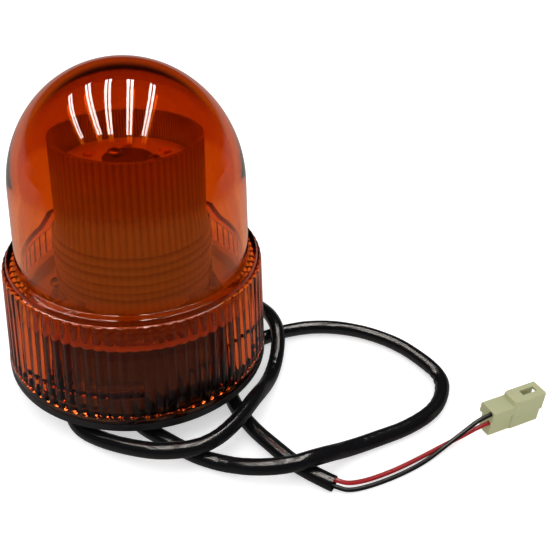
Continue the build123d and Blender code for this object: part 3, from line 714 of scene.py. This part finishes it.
def lens_outer_outline():
    """Radius, height and share of the flute's depth, from the flange up to the rim."""
    flange_top = lens_bottom + lens_flange_thickness
    outline = [(lens_neck_radius - lens_wall, lens_bottom, 0.0),
               (lens_flange_radius, lens_bottom, 0.0), (lens_flange_radius, flange_top, 0.0),
               (lens_foot_radius, flange_top, 0.0)]
    for index in range(lens_ring_count):
        level = lens_zone_bottom + index * lens_ring_pitch
        for share in lens_ring_shares:
            bulge = lens_ring_bulge * math.sin(math.pi * share)
            radius = lens_foot_radius - lens_ring_depth * (share - bulge)
            outline.append((radius, level + lens_ring_pitch * share * lens_ring_step, 0.0))
    for share, depth in lens_flute_run:
        radius = lens_neck_radius + lens_neck_taper * share
        outline.append((radius, lens_flute_bottom + lens_flute_height * share, depth))
    return outline


def lens_inner_outline():
    """Radius and height inside, from the rim down to the flange."""
    outline = []
    for share in lens_inner_run:
        radius = lens_neck_radius + lens_neck_taper * share - lens_wall
        outline.append((radius, lens_flute_bottom + lens_flute_height * share))
    outline.append((lens_neck_radius - lens_wall, lens_bottom + 0.5 * lens_ring_zone))
    return outline


def lens_outer_painted_shade(step, height):
    """Painted shade outside: each ring is darker towards its top, each flute in its valleys."""
    valley = flank(step, lens_flute_columns)
    if lens_zone_bottom <= height <= lens_flute_bottom:
        up_ring = ((height - lens_zone_bottom) / lens_ring_pitch) % 1.0
        return 1 - lens_ring_painted_shade * up_ring ** 2 - lens_ring_flute_painted_shade * valley
    return 1 - lens_flute_painted_shade * valley


def lens_mesh():
    """Closed clear shell of the drum, each place with its painted shade; the flutes inside are twice
    as fine as those outside.
    """
    columns = lens_flute_count * lens_flute_columns
    fine_columns = lens_flute_columns // 2
    rings = []
    painted_shades = []
    for radius, height, depth in lens_outer_outline():
        full_depth = depth * lens_flute_depth
        rings.append(ring_of(lambda step: radius - full_depth * flank(step, lens_flute_columns),
                             height, columns))
        painted_shades += [lens_outer_painted_shade(step, height) for step in range(columns)]
    for radius, height in lens_inner_outline():
        rings.append(ring_of(lambda step: radius + lens_inner_flute_depth * flank(step, fine_columns),
                             height, columns))
        painted_shades += [1 - lens_inner_flute_painted_shade * flank(step, fine_columns) for step in range(columns)]
    data = turned_shell("lens_drum", rings, columns)
    data.attributes.new("shade", "FLOAT", "POINT").data.foreach_set("value", painted_shades)
    return data


def painted_shade_from_mesh(material, dark, light):
    """Takes a material's colour from dark to light with the painted shade that its mesh carries."""
    nodes, link = material.node_tree.nodes, material.node_tree.links.new
    shade = nodes.new("ShaderNodeAttribute")
    shade.attribute_name = "shade"
    mix = nodes.new("ShaderNodeMix")
    mix.data_type = "RGBA"
    mix.inputs["A"].default_value = (*dark, 1.0)
    mix.inputs["B"].default_value = (*light, 1.0)
    link(shade.outputs["Fac"], mix.inputs["Factor"])
    link(mix.outputs["Result"], nodes["Principled BSDF"].inputs["Base Color"])


clear_light = (0.92, 0.88, 0.82)
clear_painted_shade = (0.02, 0.012, 0.01)
clear_body = (0.9, 0.88, 0.8)
clear_density = 60.0
clear_share = 0.4
clear_moulding = tinted_glass("clear_moulding", clear_light, clear_body, clear_density, 1.49, 0.08)
clear_surface = clear_moulding.node_tree.nodes["Principled BSDF"]
clear_surface.inputs["Transmission Weight"].default_value = clear_share
# The drum's colour is darkened to painted shade in its flute valleys and towards the top of each
# ring.
painted_shade_from_mesh(clear_moulding, clear_painted_shade, clear_light)
lens = smooth_object("lens_drum", lens_mesh())
lens.data.materials.append(clear_moulding)
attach(lens, "base")
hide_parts("inner_lens")


# Deck reflector: white plastic ring round the lens's flange, with a lip that lines the collar and
# is rolled over its top edge. It is pressed in from above and held by the lens.
reflector_low, reflector_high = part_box("deck_reflector")
reflector_inner_radius = lens_flange_radius + 0.0003
reflector_thickness = 0.001
reflector_roll_height = 0.0009
reflector_roll_reach = 0.0029
reflector_corner = 0.0002
reflector_columns = 144


def reflector_mesh():
    """Closed ring: plate, lip and rolled edge."""
    corner = reflector_corner
    bottom, outer = reflector_low.z, reflector_high.x
    plate = bottom + reflector_thickness
    lip = outer - reflector_thickness
    collar_top = reflector_high.z + 0.7 * reflector_roll_height
    roll = reflector_high.z + reflector_roll_height
    tip = outer + reflector_roll_reach
    outline = [(reflector_inner_radius, bottom), (outer, bottom), (outer, collar_top),
               (tip, collar_top), (tip, roll), (tip - 2 * corner, roll + 1.5 * corner),
               (lip + 2.5 * corner, roll + 1.5 * corner), (lip, roll - corner),
               (lip, plate + 3 * corner), (lip - corner, plate + corner),
               (lip - 3 * corner, plate), (reflector_inner_radius, plate)]
    rings = [round_ring(radius, height, reflector_columns) for radius, height in outline]
    return turned_shell("reflector_ring", rings, reflector_columns)


white_plastic = moulded_material("white_plastic", (0.88, 0.87, 0.84), gloss=0.3, dull=0.45,
                                 bump=0.00005, grain_share=0.3)
reflector = smooth_object("deck_reflector_ring", reflector_mesh())
reflector.data.materials.append(white_plastic)
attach(reflector, "base")
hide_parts("deck_reflector")


# Lamp: driver board, aluminium column, strips of emitters and the round board on top.
# The boards are glass laminate, green below and white above, and the column is bare aluminium.
board_green = moulded_material("board_green", (0.02, 0.12, 0.03), gloss=0.3, dull=0.45)
board_white = moulded_material("board_white", (0.75, 0.74, 0.7), gloss=0.35, dull=0.5)
top_board_white = moulded_material("top_board_white", (0.75, 0.73, 0.68), gloss=0.35, dull=0.5)
can_shell = moulded_material("can_shell", (0.6, 0.62, 0.64), gloss=0.25, dull=0.4, bump=0.00003,
                             Metallic=1.0)
ferrite_block = moulded_material("ferrite_block", (0.03, 0.03, 0.032), gloss=0.5, dull=0.7,
                                 bump=0.00006, grain_share=0.6)
chip_resin = moulded_material("chip_resin", (0.012, 0.012, 0.013), gloss=0.45, dull=0.6,
                              grain_share=0.5)
cast_aluminium = moulded_material("cast_aluminium", (0.72, 0.73, 0.74), gloss=0.3, dull=0.5,
                                  bump=0.00005, Metallic=1.0)
yellow_emitter = moulded_material("yellow_emitter", (0.85, 0.6, 0.06), gloss=0.25, dull=0.35,
                                  bump=0.00002, grain_share=0.3)
white_nylon = moulded_material("white_nylon", (0.72, 0.72, 0.68), gloss=0.35, dull=0.5)
top_board_dark_radius = 0.0095
top_board_dark_back = 0.0045
top_board_dark_edge = 0.03
top_board_dark_grey = (0.16, 0.15, 0.14)


def dark_middle(material, radius, dark):
    """Darkens a material inside a radius, a little behind the middle."""
    nodes, link = material.node_tree.nodes, material.node_tree.links.new
    shader = nodes["Principled BSDF"]
    place = nodes.new("ShaderNodeTexCoord")
    level = nodes.new("ShaderNodeVectorMath")
    level.operation = "MULTIPLY_ADD"
    level.inputs[1].default_value = (1.0, 1.0, 0.0)
    level.inputs[2].default_value = (0.0, -top_board_dark_back, 0.0)
    distance = nodes.new("ShaderNodeVectorMath")
    distance.operation = "LENGTH"
    edge = nodes.new("ShaderNodeMapRange")
    edge.inputs["From Min"].default_value = radius * (1 - top_board_dark_edge)
    edge.inputs["From Max"].default_value = radius * (1 + top_board_dark_edge)
    mix = nodes.new("ShaderNodeMix")
    mix.data_type = "RGBA"
    mix.inputs["A"].default_value = (*dark, 1.0)
    mix.inputs["B"].default_value = shader.inputs["Base Color"].default_value
    link(place.outputs["Object"], level.inputs[0])
    link(level.outputs["Vector"], distance.inputs[0])
    link(distance.outputs["Value"], edge.inputs["Value"])
    link(edge.outputs["Result"], mix.inputs["Factor"])
    link(mix.outputs["Result"], shader.inputs["Base Color"])


# The top board is darker in a disc a little behind its middle.
dark_middle(top_board_white, top_board_dark_radius, top_board_dark_grey)
lamp_finishes = {
    "driver_board": board_green,
    "supply_capacitor": can_shell,
    "driver_inductor": ferrite_block,
    "driver_chips": chip_resin,
    "column_spacers": rolled_brass,
    "led_column": cast_aluminium,
    "led_strips": board_white,
    "led_emitters": yellow_emitter,
    "top_board": top_board_white,
    "top_emitters": yellow_emitter,
    "top_screws": zinc_plate,
    "board_screws": zinc_plate,
    "lens_screws": zinc_plate,
    "cable_tie": white_nylon,
    "inner_lead_red": red_insulation,
    "inner_lead_black": black_insulation}
for node, finish in lamp_finishes.items():
    repaint(node, finish)


# Floor and light: a plain white floor, a dark room above it and five pairs of tubes overhead.
# The tubes show in gloss and through clear plastic, and a wide soft lamp gives the shading.
floor_size = 3.0
floor_gloss_from = -0.15
floor_gloss_to = 0.05
floor_colour = (0.86, 0.86, 0.86)
floor_lift = 0.5
floor_in_gloss = (0.36, 0.34, 0.32, 1.0)
floor_in_gloss_near = (0.02, 0.02, 0.02, 1.0)


def reflected_ray(nodes, link, paths):
    """One where a surface is seen by reflection, and zero where it is seen through clear plastic."""
    share = nodes.new("ShaderNodeMath")
    share.operation = "SUBTRACT"
    share.use_clamp = True
    link(paths.outputs["Is Glossy Ray"], share.inputs[0])
    link(paths.outputs["Is Transmission Ray"], share.inputs[1])
    return share.outputs["Value"]


def colour_mix(nodes, second):
    """Mix of two colours with its second one given."""
    mix = nodes.new("ShaderNodeMix")
    mix.data_type = "RGBA"
    mix.inputs["B"].default_value = second
    return mix


def floor_material():
    """White floor; to the eye and through clear plastic it is lifted to white, in gloss it is dim."""
    material = plain_material("white_floor", floor_colour, 0.7, Specular_IOR_Level=0.2,
                              Emission_Color=(1.0, 1.0, 1.0, 1.0))
    nodes, link = material.node_tree.nodes, material.node_tree.links.new
    surface = nodes["Principled BSDF"]
    paths = nodes.new("ShaderNodeLightPath")
    straight = nodes.new("ShaderNodeMath")
    straight.operation = "LESS_THAN"
    straight.inputs[1].default_value = 0.5
    viewed = nodes.new("ShaderNodeMath")
    viewed.operation = "MULTIPLY_ADD"
    lift = nodes.new("ShaderNodeMath")
    lift.operation = "MULTIPLY"
    lift.inputs[1].default_value = floor_lift
    place = nodes.new("ShaderNodeTexCoord")
    split = nodes.new("ShaderNodeSeparateXYZ")
    far = nodes.new("ShaderNodeMapRange")
    far.inputs["From Min"].default_value = floor_gloss_from
    far.inputs["From Max"].default_value = floor_gloss_to
    shade = colour_mix(nodes, floor_in_gloss)
    shade.inputs["A"].default_value = floor_in_gloss_near
    reflected = nodes.new("ShaderNodeEmission")
    choice = nodes.new("ShaderNodeMixShader")
    link(paths.outputs["Diffuse Depth"], straight.inputs[0])
    link(paths.outputs["Is Transmission Ray"], viewed.inputs[0])
    link(straight.outputs["Value"], viewed.inputs[1])
    link(paths.outputs["Is Camera Ray"], viewed.inputs[2])
    link(viewed.outputs["Value"], lift.inputs[0])
    link(lift.outputs["Value"], surface.inputs["Emission Strength"])
    link(place.outputs["Object"], split.inputs["Vector"])
    link(split.outputs["Y"], far.inputs["Value"])
    link(far.outputs["Result"], shade.inputs["Factor"])
    link(shade.outputs["Result"], reflected.inputs["Color"])
    link(reflected_ray(nodes, link, paths), choice.inputs["Fac"])
    link(surface.outputs["BSDF"], choice.inputs[1])
    link(reflected.outputs["Emission"], choice.inputs[2])
    link(choice.outputs["Shader"], nodes["Material Output"].inputs["Surface"])
    return material


floor_mesh = bpy.data.meshes.new("floor")
half = floor_size / 2
floor_mesh.from_pydata([(-half, -half, 0), (half, -half, 0), (half, half, 0), (-half, half, 0)],
                       [], [(0, 1, 2, 3)])
floor = bpy.data.objects.new("floor", floor_mesh)
bpy.context.scene.collection.objects.link(floor)
floor.data.materials.append(floor_material())

surround_pale = (1.0, 1.0, 1.0, 1.0)
surround_dark = (0.03, 0.03, 0.032, 1.0)
surround_in_gloss = (0.006, 0.006, 0.007, 1.0)
backdrop_in_gloss = (0.34, 0.32, 0.31, 1.0)
surround_from = 0.08
surround_to = 0.35
backdrop_top = 0.1
backdrop_full = 0.5
backdrop_end = 0.1
ambient = 0.88


def smooth_step(nodes, low, high):
    """Smooth change from zero at one value to one at another."""
    ramp = nodes.new("ShaderNodeMapRange")
    ramp.interpolation_type = "SMOOTHSTEP"
    ramp.inputs["From Min"].default_value = low
    ramp.inputs["From Max"].default_value = high
    return ramp


def surround_world():
    """White to the eye, pale low down through clear plastic, dark in gloss, and even for shading."""
    world = bpy.data.worlds.new("surround")
    world.use_nodes = True
    nodes, link = world.node_tree.nodes, world.node_tree.links.new
    paths = nodes.new("ShaderNodeLightPath")
    way = nodes.new("ShaderNodeTexCoord")
    split = nodes.new("ShaderNodeSeparateXYZ")
    height = smooth_step(nodes, surround_from, surround_to)
    above = smooth_step(nodes, 0.0, backdrop_top)
    ahead = smooth_step(nodes, backdrop_full, backdrop_end)
    away = nodes.new("ShaderNodeMath")
    away.operation = "MAXIMUM"
    backdrop = colour_mix(nodes, surround_in_gloss)
    backdrop.inputs["A"].default_value = backdrop_in_gloss
    walls = colour_mix(nodes, surround_dark)
    walls.inputs["A"].default_value = surround_pale
    gloss = colour_mix(nodes, surround_in_gloss)
    lighting = colour_mix(nodes, (ambient, ambient, ambient, 1.0))
    seen = colour_mix(nodes, surround_pale)
    bounced = nodes.new("ShaderNodeMath")
    bounced.operation = "GREATER_THAN"
    bounced.inputs[1].default_value = 0.5
    link(way.outputs["Generated"], split.inputs["Vector"])
    link(split.outputs["Z"], above.inputs["Value"])
    link(split.outputs["Y"], ahead.inputs["Value"])
    link(above.outputs["Result"], away.inputs[0])
    link(ahead.outputs["Result"], away.inputs[1])
    link(away.outputs["Value"], backdrop.inputs["Factor"])
    link(backdrop.outputs["Result"], gloss.inputs["B"])
    link(split.outputs["Z"], height.inputs["Value"])
    link(height.outputs["Result"], walls.inputs["Factor"])
    link(walls.outputs["Result"], gloss.inputs["A"])
    link(reflected_ray(nodes, link, paths), gloss.inputs["Factor"])
    link(gloss.outputs["Result"], lighting.inputs["A"])
    link(paths.outputs["Diffuse Depth"], bounced.inputs[0])
    link(bounced.outputs["Value"], lighting.inputs["Factor"])
    link(lighting.outputs["Result"], seen.inputs["A"])
    link(paths.outputs["Is Camera Ray"], seen.inputs["Factor"])
    link(seen.outputs["Result"], nodes["Background"].inputs["Color"])
    return world


bpy.context.scene.world = surround_world()

tube_height = 1.2
tube_pair_ends = [((-0.931, 0.917), (-0.931, -0.427)), ((-0.545, 0.879), (-0.501, -0.499)),
                  ((-0.199, 0.787), (-0.288, -0.541)), ((0.117, 0.735), (0.051, -0.583)),
                  ((0.463, 0.726), (0.336, -0.605))]
tube_width = 0.038
tube_spacing = 0.058
tube_colour = (1.0, 0.93, 0.86)
tube_radiance = 22.0
soft_place = (-0.5, -0.5, 1.1)
soft_size = (0.9, 0.9)
soft_tilt = -28.0
soft_radiance = 1.3


def lamp(name, place, size, radiance):
    """Rectangular lamp that faces down, with a given brightness of its surface."""
    data = bpy.data.lights.new(name, "AREA")
    data.shape = "RECTANGLE"
    data.size, data.size_y = size
    data.energy = radiance * math.pi * size[0] * size[1]
    piece = bpy.data.objects.new(name, data)
    piece.location = place
    bpy.context.scene.collection.objects.link(piece)
    return piece


for index, (far_end, near_end) in enumerate(tube_pair_ends):
    far_end, near_end = Vector(far_end), Vector(near_end)
    run = far_end - near_end
    across = Vector((run.y, -run.x)).normalized()
    for side in (-0.5, 0.5):
        middle = (far_end + near_end) / 2 + across * side * tube_spacing
        tube = lamp(f"tube_{index}_{int(side * 2)}", (middle.x, middle.y, tube_height),
                    (tube_width, run.length), tube_radiance)
        tube.rotation_euler = (0, 0, math.atan2(run.y, run.x) - math.pi / 2)
        tube.data.color = tube_colour
        tube.visible_diffuse = False
soft_lamp = lamp("soft_lamp", soft_place, soft_size, soft_radiance)
soft_lamp.rotation_euler = (math.radians(soft_tilt), math.radians(soft_tilt), 0)
soft_lamp.visible_glossy = False
soft_lamp.visible_transmission = False
bpy.context.scene.view_settings.view_transform = "Standard"
